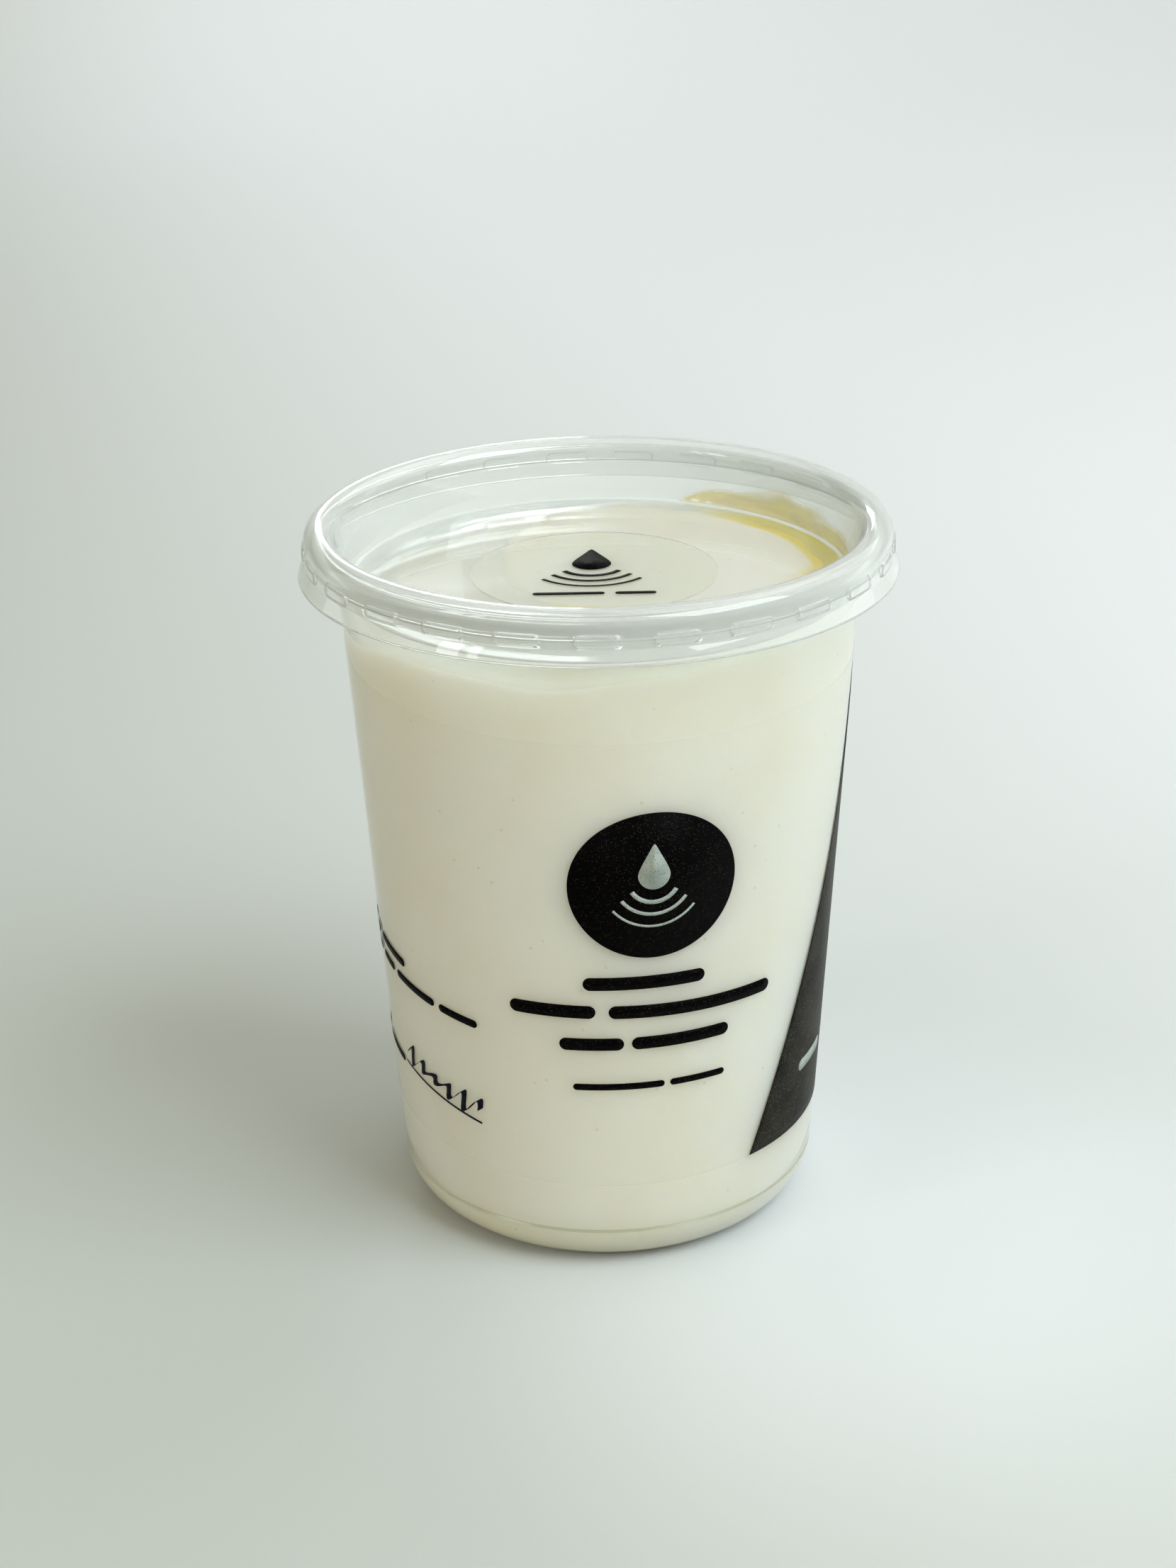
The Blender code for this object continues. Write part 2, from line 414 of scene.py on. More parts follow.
def yogurtFinish(name, look, mottle, speckle):
    material, tree, shader, _ = startMaterial(name)
    link = tree.links.new
    tone = addTone(tree, mottle, look)
    # the whey layer gives the whey's own yellow on the top and painted shade at the foot
    whey = addNode(tree, "ShaderNodeAttribute", attribute_name="whey")
    tinted = addBlend(tree, second=look["whey"])
    link(whey.outputs["Fac"], tinted.inputs["Factor"])
    link(tone.outputs["Color"], tinted.inputs[6])
    bubbles = addSpecks(tree, speckle, look, "bubble")
    dotted = addBlend(tree, second=look["bubbleTone"])
    link(bubbles.outputs["Mask"], dotted.inputs["Factor"])
    link(tinted.outputs[2], dotted.inputs[6])
    link(dotted.outputs[2], shader.inputs["Base Color"])
    setInputs(shader, {
        "Roughness": look["roughness"],
        "Specular IOR Level": look["shine"],
        "Subsurface Weight": look["depthShare"],
        "Subsurface Radius": look["depthColours"],
        "Subsurface Scale": look["depth"],
    })
    addBump(tree, shader, tone.outputs["Height"], look["curdle"], curdleDepth)
    return material


pebbledFilm = makePebbleGroup()
handlingMarks = makeHandlingGroup()
softMottle = makeMottleGroup()
roundSpecks = makeSpeckGroup()


# Cup: one thin sheet, turned, with a rounded foot and a curled rim

cup = {
    "steps": 160,
    "radiusAtFloor": 43.0 * mm,  # the wall's cone carried down to the floor
    "taper": 0.0622,
    "sheet": 0.7 * mm,
    "footFillet": 9.5 * mm,
    "footRing": 4.2 * mm,
    "footSlope": 1.6 * mm,
    "baseRecess": 1.6 * mm,
    "lineDepth": 0.3 * mm,  # the fine groove where the fillet ends
    "lineWidth": 0.8 * mm,
    "shoulder": 135.5 * mm,
    "rimRadius": 54.6 * mm,
    "rimHeight": 142.6 * mm,
    "rimCurl": 1.25 * mm,
    "rimLip": 140.5 * mm,
    "footSteps": 14,
    "wallRows": 24,
    "curlSteps": 12,
}

cupLook = {
    "tint": paint(250, 253, 250),
    "lampTint": paint(251, 251, 248),
    "clarity": 0.94,
    "bend": 1.49,
    "shine": 0.5,
    "clean": 0.05,
    "marked": 0.12,
    "markScale": 45.0,
}

# the plastic in the groove is tinted darker and lets less lamp light through: painted shade along
# the groove
grooveShadeLook = dict(
    cupLook,
    tint=paint(206, 211, 190),
    lampTint=paint(196, 201, 180),
    clean=0.2,
    marked=0.3,
)


def wallRadius(height):
    return cup["radiusAtFloor"] + cup["taper"] * height


def drawBase(bm, inset, steps):
    # from the axis out over the foot ring and up the fillet, moved in by inset
    lean = math.degrees(math.atan(cup["taper"]))
    fillet = cup["footFillet"]
    centre = (wallRadius(fillet) - fillet / math.cos(toRadians(lean)), fillet)
    ringEdge = centre[0] - cup["footRing"]
    floorHeight = cup["baseRecess"] + inset
    tip = bm.verts.new((0.0, 0.0, floorHeight))
    tip = lineTo(bm, tip, ringEdge - cup["footSlope"], floorHeight, 6)
    tip = lineTo(bm, tip, ringEdge, inset, 2)
    tip = lineTo(bm, tip, centre[0], inset, 2)
    return arcTo(bm, tip, centre, 90 - lean, steps)


def makeCup():
    bm = bmesh.new()
    tip = drawBase(bm, 0.0, cup["footSteps"])
    foot, wide = tip.co.z, cup["lineWidth"]
    tip = lineTo(bm, tip, wallRadius(foot) - cup["lineDepth"], foot + wide / 2)
    tip = lineTo(bm, tip, wallRadius(foot + wide), foot + wide)
    tip = lineTo(bm, tip, wallRadius(cup["shoulder"]), cup["shoulder"], cup["wallRows"])
    tip = lineTo(bm, tip, cup["rimRadius"] - cup["rimCurl"], cup["rimHeight"], 4)
    tip = arcTo(bm, tip, (cup["rimRadius"], cup["rimHeight"]), -180, cup["curlSteps"])
    lineTo(bm, tip, cup["rimRadius"] + cup["rimCurl"], cup["rimLip"], 2)
    turnProfile(bm, cup["steps"])
    middle = 70 * mm
    faceOut(bm, (wallRadius(middle), 0, middle), (1, 0, 0))
    # faces in the groove take the darker plastic, painted shade
    for face in bm.faces:
        above = face.calc_center_median().z - foot
        onWallSide = face.normal.z < 0.9
        face.material_index = 1 if 0 < above < wide and onWallSide else 0
    plastic = clearPlastic("clear_cup_plastic", cupLook, handlingMarks)
    grooveShade = clearPlastic("clear_cup_groove_shade", grooveShadeLook, handlingMarks)
    shell = addPiece("cup_shell", bm, [plastic, grooveShade], "cup")
    addWall(shell, cup["sheet"], -1)


# Lid: a sheet with a sunk panel, a tall rounded ring and a skirt with pressed lugs

lid = {
    "sheet": 0.5 * mm,
    "panelHeight": 134.0 * mm,
    "panelRadius": 48.6 * mm,
    "panelRings": 10,
    "panelTurn": (0.4 * mm, 0.05 * mm),  # where the flat panel starts to bend up
    "plugFoot": (49.7 * mm, 135.1 * mm),
    "plugTurn": (0.3 * mm, 0.8 * mm),
    "ringHalfWidth": 3.05 * mm,
    "ringRise": 2.9 * mm,
    "ringHeight": 143.3 * mm,
    "ringSteps": 18,
    "ringEnd": -12,  # where the ring's arc meets the skirt, in degrees
    "skirtRadius": 57.6 * mm,
    "bandFoot": 139.3 * mm,
    "bandRows": 15,
    "flare": ((0.15 * mm, 0.25 * mm, 1), (0.5 * mm, 0.9 * mm, 2)),  # out, down and cuts
    "edge": (59.0 * mm, 136.5 * mm),
    "lugs": 25,
    "lugLength": 9.0 * mm,
    "lugHeight": 2.6 * mm,
    "lugProud": 0.5 * mm,
    "lugSoftness": 0.25 * mm,
    "lugMiddle": 140.9 * mm,
    "firstLug": -90.6,
    "stepsPerLug": 26,
    "crowding": 0.62,
    "lugSlack": (0.3 * mm, 0.1 * mm),  # how far inside and under the band a point still counts
}

panelLook = {
    "tint": paint(252, 254, 253),
    "lampTint": paint(219, 219, 216),
    "clarity": 0.96,
    "bend": 1.49,
    "shine": 0.28,  # wet below, so one face of the two reflects
    "clean": 0.02,
    "marked": 0.05,
    "markScale": 20.0,
}

# the thick ring is a little milky
ringLook = dict(
    panelLook,
    lampTint=paint(238, 238, 235),
    clarity=0.77,
    shine=0.5,
    clean=0.03,
    marked=0.06,
)


def lugPush(along, up):
    # how far the skirt is pressed out, from its distance inside the lug's rounded outline
    straight = (lid["lugLength"] - lid["lugHeight"]) / 2
    reach = math.hypot(max(abs(along) - straight, 0.0), up)
    depth = lid["lugHeight"] / 2 - reach
    return lid["lugProud"] * easeStep(-lid["lugSoftness"] / 2, lid["lugSoftness"], depth)


def gatherColumn(share):
    # share runs 0 to 1 from a lug's middle to half way to the next one
    # the columns crowd at the lug's end
    return share + lid["crowding"] * (math.sin(2 * math.pi * share) / (2 * math.pi))


def pressLugs(bm):
    pitch = 2 * math.pi / lid["lugs"]
    start = toRadians(lid["firstLug"])
    inside, under = lid["lugSlack"]
    for vert in bm.verts:
        flat = vert.co.xy.length
        if flat < 1 * mm:  # the middle of the panel
            continue
        angle = math.atan2(vert.co.y, vert.co.x) - start
        lug = round(angle / pitch)
        offset = angle - lug * pitch
        share = gatherColumn(min(abs(offset) / (pitch / 2), 1.0))
        offset = math.copysign(share * pitch / 2, offset)
        aboveFlare = vert.co.z > lid["bandFoot"] - under
        if aboveFlare and flat > lid["skirtRadius"] - inside:
            flat += lugPush(offset * lid["skirtRadius"], vert.co.z - lid["lugMiddle"])
        turned = start + lug * pitch + offset
        vert.co.x, vert.co.y = flat * math.cos(turned), flat * math.sin(turned)


def drawLid(bm):
    tip = bm.verts.new((0.0, 0.0, lid["panelHeight"]))
    inward, up = lid["panelTurn"]
    tip = lineTo(bm, tip, lid["panelRadius"] - inward, lid["panelHeight"], lid["panelRings"])
    tip = lineTo(bm, tip, lid["panelRadius"], lid["panelHeight"] + up)
    inward, down = lid["plugTurn"]
    tip = lineTo(bm, tip, lid["plugFoot"][0] - inward, lid["plugFoot"][1] - down, 2)
    tip = lineTo(bm, tip, *lid["plugFoot"], 2)
    tip = lineTo(bm, tip, cup["rimRadius"] - lid["ringHalfWidth"], lid["ringHeight"], 6)
    for step in range(1, lid["ringSteps"] + 1):
        angle = toRadians(180 + (lid["ringEnd"] - 180) * step / lid["ringSteps"])
        radius = cup["rimRadius"] + lid["ringHalfWidth"] * math.cos(angle)
        tip = lineTo(bm, tip, radius, lid["ringHeight"] + lid["ringRise"] * math.sin(angle))
    tip = lineTo(bm, tip, lid["skirtRadius"], lid["bandFoot"], lid["bandRows"])
    for outward, down, cuts in lid["flare"]:
        tip = lineTo(bm, tip, lid["skirtRadius"] + outward, lid["bandFoot"] - down, cuts)
    lineTo(bm, tip, *lid["edge"], 4)


def makeLid():
    bm = bmesh.new()
    drawLid(bm)
    turnProfile(bm, lid["lugs"] * lid["stepsPerLug"])
    pressLugs(bm)
    faceOut(bm, (20 * mm, 0, lid["panelHeight"]), (0, 0, 1))
    for face in bm.faces:
        onPanel = face.calc_center_median().xy.length < lid["panelRadius"]
        face.material_index = 0 if onPanel else 1
    panel = clearPlastic("clear_lid_panel", panelLook, handlingMarks)
    ring = clearPlastic("clear_lid_ring", ringLook, handlingMarks)
    shell = addPiece("lid_shell", bm, [panel, ring], "lid")
    addWall(shell, lid["sheet"], -1)


# Yogurt: pressed flat against the lid in one patch, with a lower moat of whey along the wall

yogurt = {
    "steps": 180,
    "footSteps": 12,
    "wallRows": 22,
    "rollSteps": 8,
    "topRings": 62,
    "fill": 128.0 * mm,
    "straight": 0.8,  # above this share of the fill the wall follows the level
    "patchCentre": (12.0 * mm, 11.0 * mm),
    "patchRadius": 30.0 * mm,
    "patchLean": (2.3 * mm, 160.0),
    "patchLobes": (2.5 * mm, 112.0),
    "patchRagged": 0.8 * mm,
    "patchGrain": 6 * mm,
    "limitGrain": 7 * mm,
    "patchEdge": 3.0 * mm,
    "patchLimit": 41.3 * mm,
    "ripple": 0.35 * mm,
    "rippleGrain": 9 * mm,
    "rippleFade": 5 * mm,
    "roll": 2.5 * mm,  # its edge rolls away from the wall
    "plateau": 132.5 * mm,  # height of the part just short of the lid
    "bank": 9.0 * mm,  # width of the slope from the plateau down to the wall
    "wheyMiddle": 26.0,  # the moat's yellowest side
    "wheyStrength": 0.88,
    "wheySpread": (0.78, 0.97),
    "wheyStart": (0.3 * mm, 1.6 * mm),
    "poolMiddle": -90.0,  # a fainter pool at the front of the patch
    "poolStrength": 0.5,
    "poolSpread": (0.8, 0.97),
    "poolStart": (0.4 * mm, 1.6 * mm),
    "poolEnd": (3 * mm, 7 * mm),
    "footShadeTint": (0.04, 0.22),  # painted shade at the foot, warmer near the floor: least, and what the side away from the window adds
    "footShadeTintEnd": (2 * mm, 14 * mm),
    "windowSide": 30.0,
    "shadeSpread": (-0.2, 0.9),
    # height at the wall by azimuth: nearly at the lid on the right, sunk on the left
    "levels": (
        (-180, 129.0), (-160, 128.9), (-138, 131.6), (-120, 131.3), (-102, 130.2), (-80, 132.2),
        (-58, 133.3), (75, 133.3), (110, 131.5), (145, 129.5), (180, 129.0),
    ),
}

yogurtLook = {
    "light": paint(247, 244, 235),
    "deep": paint(243, 239, 227),
    "whey": paint(255, 226, 98),
    "scale": 32.0,
    "roughness": 0.42,
    "shine": 0.3,
    "depthShare": 1.0,
    "depthColours": (1.0, 0.93, 0.76),
    "depth": 14.0 * mm,
    "curdle": 0.25,
    "bubbleScale": 420.0,
    "bubbleSize": 0.11,
    "bubbleShare": 0.09,
    "bubbleTone": paint(230, 227, 205),
}


def outsidePatch(x, y):
    # distance outside the patch that touches the lid, 0 within it
    across, along = x - yogurt["patchCentre"][0], y - yogurt["patchCentre"][1]
    angle = math.atan2(along, across)
    lean, leanAngle = yogurt["patchLean"]
    lobes, lobeAngle = yogurt["patchLobes"]
    reach = yogurt["patchRadius"] + lean * math.cos(angle - toRadians(leanAngle))
    reach += lobes * math.cos(3 * (angle - toRadians(lobeAngle)))
    ragged = yogurt["patchRagged"]
    reach += ragged * noise.noise(Vector((x, y, 0)) / yogurt["patchGrain"])
    limit = yogurt["patchLimit"]
    limit += ragged * noise.noise(Vector((x, y, 0.02)) / yogurt["limitGrain"])
    return max(math.hypot(across, along) - reach, math.hypot(x, y) - limit, 0.0)


def levelAtWall(azimuth):
    for (before, low), (after, high) in zip(yogurt["levels"], yogurt["levels"][1:]):
        if azimuth <= after:
            break
    return (low + (high - low) * easeStep(before, after, azimuth)) * mm


def yogurtHeight(x, y, level, toWall):
    contact = lid["panelHeight"] - lid["sheet"] / 2
    share = math.exp(-((outsidePatch(x, y) / yogurt["patchEdge"]) ** 2))
    ripple = yogurt["ripple"] * noise.noise(Vector((x, y, 0)) / yogurt["rippleGrain"])
    ripple *= easeStep(0, yogurt["rippleFade"], toWall)
    bank = max(yogurt["plateau"] - level, 0.0) * easeStep(0, yogurt["bank"], toWall)
    low = min(level + bank + ripple, contact)
    return low + (contact - low) * share


def facing(x, y, azimuth):
    # 1 on that side of the pot, -1 on the other
    return math.cos(math.atan2(y, x) - toRadians(azimuth))


def wheyShare(x, y):
    outside = outsidePatch(x, y)
    side = easeStep(*yogurt["wheySpread"], facing(x, y, yogurt["wheyMiddle"]))
    wall = yogurt["wheyStrength"] * side * easeStep(*yogurt["wheyStart"], outside)
    front = easeStep(*yogurt["poolSpread"], facing(x, y, yogurt["poolMiddle"]))
    pool = yogurt["poolStrength"] * front * easeStep(*yogurt["poolStart"], outside)
    return max(wall, pool * (1 - easeStep(*yogurt["poolEnd"], outside)))


# painted shade: the foot is tinted warmer and darker near the floor, more on the side away from
# the window
def paintedFootShade(x, y, height):
    least, more = yogurt["footShadeTint"]
    shaded = easeStep(*yogurt["shadeSpread"], -facing(x, y, yogurt["windowSide"]))
    return (least + more * shaded) * (1 - easeStep(*yogurt["footShadeTintEnd"], height))


def makeYogurt():
    inset = cup["sheet"] / 2
    top, roll = yogurt["fill"], yogurt["roll"]
    edge = wallRadius(top - roll) - inset - roll
    bm = bmesh.new()
    tip = drawBase(bm, inset, yogurt["footSteps"])
    tip = lineTo(bm, tip, edge + roll, top - roll, yogurt["wallRows"])
    tip = arcTo(bm, tip, (edge, top - roll), 90, yogurt["rollSteps"])
    lineTo(bm, tip, 0.0, top, yogurt["topRings"])
    turnProfile(bm, yogurt["steps"])
    wheyLayer = bm.verts.layers.float.new("whey")
    straight = yogurt["straight"] * top
    for vert in bm.verts:
        x, y, height = vert.co
        if height < straight:
            vert[wheyLayer] = paintedFootShade(x, y, height)
            continue
        flat = vert.co.xy.length
        vert[wheyLayer] = wheyShare(x, y) * easeStep(top - roll, top, height)
        level = levelAtWall(math.degrees(math.atan2(y, x)))
        lifted = straight + (height - straight) * (level - straight) / (top - straight)
        stretch = 1 + cup["taper"] * (lifted - height) / edge
        if flat < edge - 0.01 * mm:
            lifted = yogurtHeight(x, y, level, edge - flat)
        vert.co = (x * stretch, y * stretch, lifted)
    faceOut(bm, (wallRadius(top / 2), 0, top / 2), (1, 0, 0))
    cream = yogurtFinish("yogurt_cream", yogurtLook, softMottle, roundSpecks)
    addPiece("yogurt_fill", bm, [cream], "yogurt", sharp=60)


# Smear: a thin film of whey left on the wall, above the lid's panel on the right

smear = {
    "columns": 90,
    "rows": 16,
    "from": 5.0,
    "to": 70.0,
    "low": 133.4 * mm,
    "high": 140.2 * mm,
    "thickness": 0.25 * mm,
    "offWall": 0.02 * mm,
    "whey": 0.6,
    "cover": 1.35,
    "coverEnd": (0.35, 1.0),  # it thins out over this part of its height
    "endFade": 0.6,
    "raggedWaves": 6,
    "ragged": (0.9, 0.3),  # the mean of its height, and how much it changes
    "blotches": (9, 3),
    "blotchy": (0.75, 0.5),
}

smearLook = dict(yogurtLook, light=paint(246, 206, 72), deep=paint(240, 192, 58), depth=1.0 * mm)


def smearFinish():
    # thin at its edges, where the plastic shows through it
    material = yogurtFinish("yogurt_smear", smearLook, softMottle, roundSpecks)
    tree = material.node_tree
    cover = addNode(tree, "ShaderNodeAttribute", attribute_name="cover")
    tree.links.new(cover.outputs["Fac"], tree.nodes["Principled BSDF"].inputs["Alpha"])
    return material


def makeSmear():
    cream = smearFinish()
    bm = bmesh.new()
    bmesh.ops.create_grid(bm, x_segments=smear["columns"], y_segments=smear["rows"], size=1.0)
    wheyLayer = bm.verts.layers.float.new("whey")
    coverLayer = bm.verts.layers.float.new("cover")
    widening = cup["rimRadius"] - cup["rimCurl"] - wallRadius(cup["shoulder"])
    slope = widening / (cup["rimHeight"] - cup["shoulder"])
    mean, change = smear["ragged"]
    base, depth = smear["blotchy"]
    across, high = smear["blotches"]
    for vert in bm.verts:
        along, up = (vert.co.x + 1) / 2, (vert.co.y + 1) / 2
        azimuth = toRadians(smear["from"] + (smear["to"] - smear["from"]) * along)
        ends = math.sin(math.pi * along) ** 0.5
        ragged = mean + change * noise.noise(Vector((along * smear["raggedWaves"], 0, 0)))
        rise = up * max(ends * ragged, 0.05)
        height = smear["low"] + (smear["high"] - smear["low"]) * rise
        inner = wallRadius(min(height, cup["shoulder"])) - cup["sheet"]
        inner += slope * max(height - cup["shoulder"], 0.0) - smear["offWall"]
        vert[wheyLayer] = smear["whey"]
        blotch = base + depth * noise.noise(Vector((along * across, up * high, 0.5)))
        thinning = 1 - easeStep(*smear["coverEnd"], up)
        thinning *= easeStep(0, smear["endFade"], ends)
        vert[coverLayer] = smear["cover"] * blotch * thinning
        vert.co = onCircle(inner, azimuth, height)
    middle = toRadians((smear["from"] + smear["to"]) / 2)
    faceOut(bm, onCircle(50 * mm, middle, smear["low"]), onCircle(-1, middle, 0))
    piece = addPiece("yogurt_smear", bm, [cream])
    addWall(piece, smear["thickness"], 1)


# Side label: a straight strip of clear film wrapped on the cone

label = {
    "columns": 144,
    "rows": 6,
    "foot": 20.5 * mm,
    "height": 97.5 * mm,
    "middle": -78.0,
    "endGap": 3.0 * mm,
    "standOff": 0.05 * mm,
    "film": 0.1 * mm,
}

labelLook = {
    "tint": paint(236, 240, 230),
    "roughness": 0.3,
    "grainScale": 1500.0,
    "specks": 0.5,
    "grainStrength": 0.5,
    "faceOn": 0.003,
    "slant": 0.03,
    "lampTint": paint(255, 255, 255),
}

# the film's cut edge is drawn as a grey line of painted shade
cutEdgeShadeLook = dict(labelLook, tint=paint(150, 154, 138), faceOn=0.08, slant=0.14)


def stripHeight(turn, up):
    # a straight strip rises on a cone as it goes round; up is measured at its middle
    lean = math.atan(cup["taper"])
    floorSlant = cup["radiusAtFloor"] / math.sin(lean)
    middleSlant = floorSlant + (label["foot"] + up) / math.cos(lean)
    return (middleSlant / math.cos(turn * math.sin(lean)) - floorSlant) * math.cos(lean)


def makeSideLabel():
    halfTurn = math.pi - label["endGap"] / (2 * wallRadius(label["foot"]))
    bm = bmesh.new()
    bmesh.ops.create_grid(bm, x_segments=label["columns"], y_segments=label["rows"], size=1.0)
    for vert in bm.verts:
        turn = vert.co.x * halfTurn
        height = stripHeight(turn, (vert.co.y + 1) / 2 * label["height"])
        radius = wallRadius(height) + label["standOff"]
        angle = toRadians(label["middle"]) + turn
        vert.co = onCircle(radius, angle, height)
    middle = toRadians(label["middle"])
    faceOut(bm, onCircle(wallRadius(0), middle, 70 * mm), onCircle(1, middle, 0))
    film = clearFilm("label_film", labelLook, pebbledFilm)
    shadedCutEdge = clearFilm("film_cut_edge_shade", cutEdgeShadeLook, pebbledFilm)
    piece = addPiece("label_film", bm, [film, shadedCutEdge], "side_label")
    addWall(piece, label["film"], 1, rimMaterial=1)


# Print: flat shapes, cut into narrow strips so that they bend, then laid on the film

ink = {
    "thickness": 0.03 * mm,
    "clear": 0.01 * mm,
    "stripWidth": 1.0 * mm,
}

# the pale specks on the black are painted glints of its pebbled film
blackLook = {
    "light": paint(6, 5, 5),
    "deep": paint(2, 2, 2),
    "scale": 300.0,
    "roughness": 0.36,
    "shine": 0.02,
    "speckScale": 2200.0,
    "speckSize": 0.2,
    "speckShare": 0.55,
    "speckAndGlintTone": paint(46, 40, 36),
    "grainScale": 1700.0,
    "specks": 0.9,
    "grainStrength": 0.8,
}

# the worn black's pale specks are partly wear and partly painted glints
wornLook = dict(
    blackLook,
    light=paint(46, 44, 39),
    deep=paint(29, 27, 24),
    scale=140.0,
    speckScale=3600.0,
    speckShare=0.3,
    speckAndGlintTone=paint(112, 110, 102),
    grainStrength=0.4,
)

paleLook = dict(
    blackLook,
    light=paint(176, 186, 182),
    deep=paint(160, 171, 167),
    speckAndGlintTone=paint(120, 128, 124),
)

penLook = dict(
    blackLook,
    light=paint(22, 24, 42),
    deep=paint(14, 16, 32),
    grainStrength=0.3,
    speckShare=0.1,
)


def addObround(bm, width, height, centre=(0.0, 0.0), segments=20):
    # half a step of turn leaves no point on the middle line, where the circle is drawn apart
    made = bmesh.ops.create_circle(bm, cap_ends=True, segments=segments, radius=height / 2,
                                   matrix=Matrix.Rotation(math.pi / segments, 4, "Z"))
    stretch = (width - height) / 2
    for vert in made["verts"]:
        vert.co.x += math.copysign(stretch, vert.co.x) + centre[0]
        vert.co.y += centre[1]


# what the drop and its ripples share on the disc and on the sticker
motifShape = {
    "dropSegments": 64,
    "dropFullness": 0.35,
    "dropDraw": 1.6,
    "ripples": 3,
    "rippleSteps": 32,
    "finer": 0.2,  # each ripple than the one above it, in millimetres
    "shorter": 8,  # and in degrees
}


def addRipple(bm, radius, width, degrees, centre):
    # a flat arc, open upwards and as wide as degrees
    start = toRadians(-90 - degrees / 2)
    ends = []
    for reach in (radius - width / 2, radius + width / 2):
        ends.append(bm.verts.new((
            centre[0] + reach * math.cos(start), centre[1] + reach * math.sin(start), 0)))
    edge = bm.edges.new(ends)
    bmesh.ops.spin(bm, geom=ends + [edge], cent=(*centre, 0), axis=(0, 0, 1),
                   angle=toRadians(degrees), steps=motifShape["rippleSteps"])


def addDrop(bm, radius, length, centre):
    # a round belly drawn up to a point
    made = bmesh.ops.create_circle(
        bm, cap_ends=True, segments=motifShape["dropSegments"], radius=radius)
    for vert in made["verts"]:
        rise = max(vert.co.y / radius, 0.0)
        vert.co.x *= 1 - rise ** 2 * (1 - motifShape["dropFullness"] * rise)
        vert.co.y += (length - 2 * radius) * rise ** motifShape["dropDraw"]
        vert.co.x += centre[0]
        vert.co.y += centre[1]


def addMotif(bm, motif):
    # a drop over three ripples, each wider, finer and shorter than the one above
    middle = motif["middle"] * mm
    dropPlace = (middle, motif["dropHeight"] * mm)
    addDrop(bm, motif["dropRadius"] * mm, motif["dropLength"] * mm, dropPlace)
    for step in range(motifShape["ripples"]):
        addRipple(
            bm,
            (motif["ripple"] + motif["rippleGap"] * step) * mm,
            (motif["line"] - motifShape["finer"] * step) * mm,
            motif["spread"] - motifShape["shorter"] * step,
            (middle, motif["rippleHeight"] * mm),
        )


def cutStrips(bm):
    xs = [vert.co.x for vert in bm.verts]
    count = int((max(xs) - min(xs)) / ink["stripWidth"])
    for cut in range(1, count + 1):
        place = min(xs) + cut * ink["stripWidth"]
        bmesh.ops.bisect_plane(bm, geom=bm.verts[:] + bm.edges[:] + bm.faces[:],
                               plane_co=(place, 0, 0), plane_no=(1, 0, 0))


def onWall(x, y, azimuth, height, layer):
    # a point of a flat shape whose middle is at that azimuth and height
    lift = label["standOff"] + label["film"] + ink["clear"]
    lift += layer * (ink["thickness"] + ink["clear"])
    angle = toRadians(azimuth) + x / wallRadius(height)
    radius = wallRadius(height + y) + lift
    return onCircle(radius, angle, height + y)


def addPrint(name, bm, finish, azimuth, height, layer=0, slope=0.0):
    turned = Matrix.Rotation(toRadians(slope), 3, "Z")
    bmesh.ops.rotate(bm, verts=bm.verts, cent=(0, 0, 0), matrix=turned)
    cutStrips(bm)
    for vert in bm.verts:
        vert.co = onWall(vert.co.x, vert.co.y, azimuth, height, layer)
    bmesh.ops.recalc_face_normals(bm, faces=bm.faces)
    for face in bm.faces:
        if face.normal.xy.dot(face.calc_center_median().xy) < 0:
            face.normal_flip()
    piece = addPiece(name, bm, [finish])
    addWall(piece, ink["thickness"], 1)
    return piece


disc = {
    "azimuth": -78.8,
    "height": 88.3 * mm,
    "width": 33.0 * mm,
    "rise": 31.0 * mm,
    "segments": 128,
    "motif": {
        "middle": 0, "dropRadius": 3.1, "dropLength": 9.6, "dropHeight": 2.4,
        "ripple": 5.0, "rippleGap": 2.6, "rippleHeight": 1.6, "line": 0.9, "spread": 118,
    },
}


def makeDisc(black, pale):
    bm = bmesh.new()
    bmesh.ops.create_circle(bm, cap_ends=True, segments=disc["segments"], radius=disc["rise"] / 2)
    bmesh.ops.scale(bm, verts=bm.verts, vec=(disc["width"] / disc["rise"], 1, 1))
    addPrint("disc_print", bm, black, disc["azimuth"], disc["height"])
    bm = bmesh.new()
    addMotif(bm, disc["motif"])
    addPrint("disc_motif", bm, pale, disc["azimuth"], disc["height"], layer=1)


# rows of plain bars: a row's azimuth, height, thickness and slope,
# then the offset and the width of each bar
frontBars = {
    "title_bars": (-80.8, 67.4, 2.9, 0.0, ((0.0, 24.0),)),
    "name_bars": (-80.0, 60.9, 2.9, -1.0, ((-18.7, 17.0), (9.6, 34.6))),
    "claim_bars": (-80.0, 53.8, 2.8, 0.0, ((-11.0, 12.6), (6.8, 20.0))),
    "note_bars": (-79.2, 44.0, 1.5, 0.0, ((-6.3, 18.0), (9.6, 11.6))),
}


def makeFrontBars(black):
    for name, (azimuth, height, thick, slope, bars) in frontBars.items():
        bm = bmesh.new()
        for offset, width in bars:
            addObround(bm, width * mm, thick * mm, (offset * mm, 0.0))
        addPrint(name, bm, black, azimuth, height * mm, slope=slope)


# small rows on the left side: azimuth, height and thickness, then the widths from right to left
sideBars = {
    "side_bars_top": (-149.0, 60.4, 1.9, (13.0, 9.0, 15.0)),
    "side_bars_low": (-123.0, 54.4, 1.8, (10.0, 14.0, 7.0, 12.0, 9.0)),
    "side_bars_date": (-156.0, 35.6, 1.7, (12.0, 8.0)),
}


